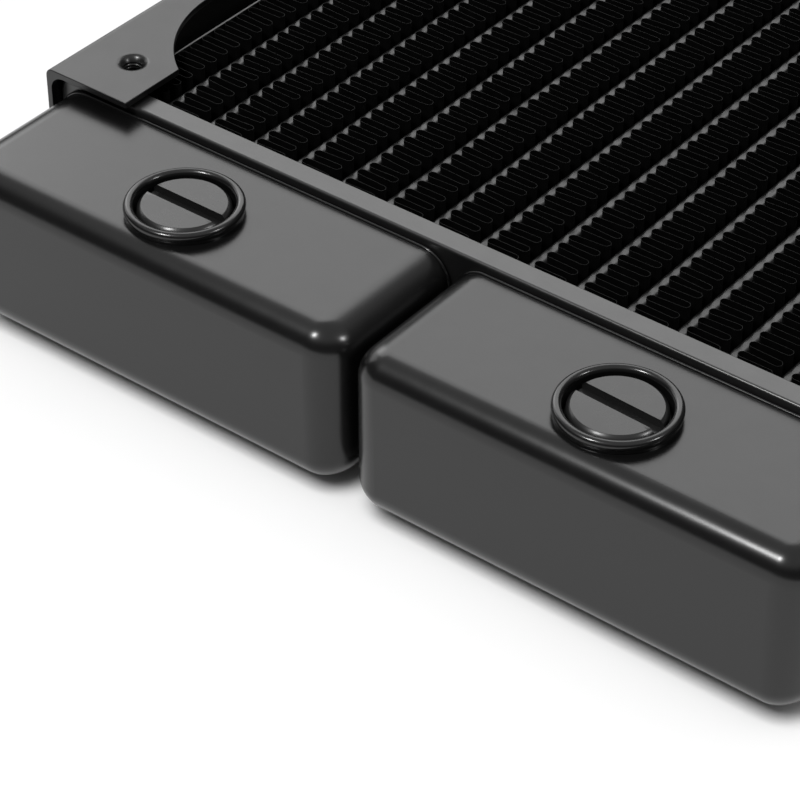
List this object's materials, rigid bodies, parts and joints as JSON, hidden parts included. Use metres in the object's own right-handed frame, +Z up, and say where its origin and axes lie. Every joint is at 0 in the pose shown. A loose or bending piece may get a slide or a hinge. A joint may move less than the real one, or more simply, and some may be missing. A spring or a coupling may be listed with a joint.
{
  "type": "liquid cooling radiator",
  "caption": "Slim radiator for a computer's liquid cooling loop: folded-fin tube core, side panels with fan flanges, and a return tank opposite inlet and outlet tanks with plugged ports.",
  "frame": {"origin": "under the middle of the radiator, on the plane that the lower fan flanges rest on", "axes": "+X across the radiator, +Y along its length from the port end to the return tank, +Z up out of the face that carries the ports"},
  "size_m": [0.142, 0.315, 0.03],
  "materials": {
    "tank_paint": "satin black powder coat",
    "panel_paint": "satin black powder coat",
    "core_paint": "thin satin black paint",
    "fin_paint": "thin matte black paint",
    "boss_paint": "gloss black",
    "plug_plastic": "fine-turned black acetal",
    "oring_rubber": "matte black nitrile"
  },
  "bodies": {
    "root": {"core_tube_01": "core_paint", "core_tube_02": "core_paint", "core_tube_03": "core_paint", "core_tube_04": "core_paint", "core_tube_05": "core_paint", "core_tube_06": "core_paint", "core_tube_07": "core_paint", "core_tube_08": "core_paint", "core_tube_09": "core_paint", "core_tube_10": "core_paint", "core_tube_11": "core_paint", "core_tube_12": "core_paint", "core_tube_13": "core_paint", "core_tube_14": "core_paint", "core_tube_15": "core_paint", "fin_strip_01": "fin_paint", "fin_strip_02": "fin_paint", "fin_strip_03": "fin_paint", "fin_strip_04": "fin_paint", "fin_strip_05": "fin_paint", "fin_strip_06": "fin_paint", "fin_strip_07": "fin_paint", "fin_strip_08": "fin_paint", "fin_strip_09": "fin_paint", "fin_strip_10": "fin_paint", "fin_strip_11": "fin_paint", "fin_strip_12": "fin_paint", "fin_strip_13": "fin_paint", "fin_strip_14": "fin_paint", "fin_strip_15": "fin_paint", "fin_strip_16": "fin_paint", "left_core_side_plate": "core_paint", "right_core_side_plate": "core_paint", "front_header_plate": "panel_paint", "rear_header_plate": "panel_paint", "left_side_panel": "panel_paint", "right_side_panel": "panel_paint", "inlet_tank": "tank_paint", "outlet_tank": "tank_paint", "return_tank": "tank_paint", "inlet_port_boss": "boss_paint", "outlet_port_boss": "boss_paint"},
    "inlet_seal": {"inlet_plug_oring": "oring_rubber"},
    "inlet_plug": {"inlet_plug": "plug_plastic"},
    "outlet_seal": {"outlet_plug_oring": "oring_rubber"},
    "outlet_plug": {"outlet_plug": "plug_plastic"}
  },
  "joints": [
    {"name": "inlet_plug_rise", "type": "slide", "parent": "root", "child": "inlet_seal", "axis": [0, 0, 1], "range_m": [0, 0.00668]},
    {"name": "inlet_plug_turn", "type": "hinge", "parent": "inlet_seal", "child": "inlet_plug", "pos_m": [-0.0349, -0.14645, 0.0291], "axis": [0, 0, 1], "range_deg": [0, 1800]},
    {"name": "outlet_plug_rise", "type": "slide", "parent": "root", "child": "outlet_seal", "axis": [0, 0, 1], "range_m": [0, 0.00668]},
    {"name": "outlet_plug_turn", "type": "hinge", "parent": "outlet_seal", "child": "outlet_plug", "pos_m": [0.0349, -0.14645, 0.0291], "axis": [0, 0, 1], "range_deg": [0, 1800]}
  ],
  "couplings": [
    {"joint": "inlet_plug_turn", "follows": "inlet_plug_rise", "rad_per_m": 4699.5},
    {"joint": "outlet_plug_turn", "follows": "outlet_plug_rise", "rad_per_m": 4699.5}
  ]
}
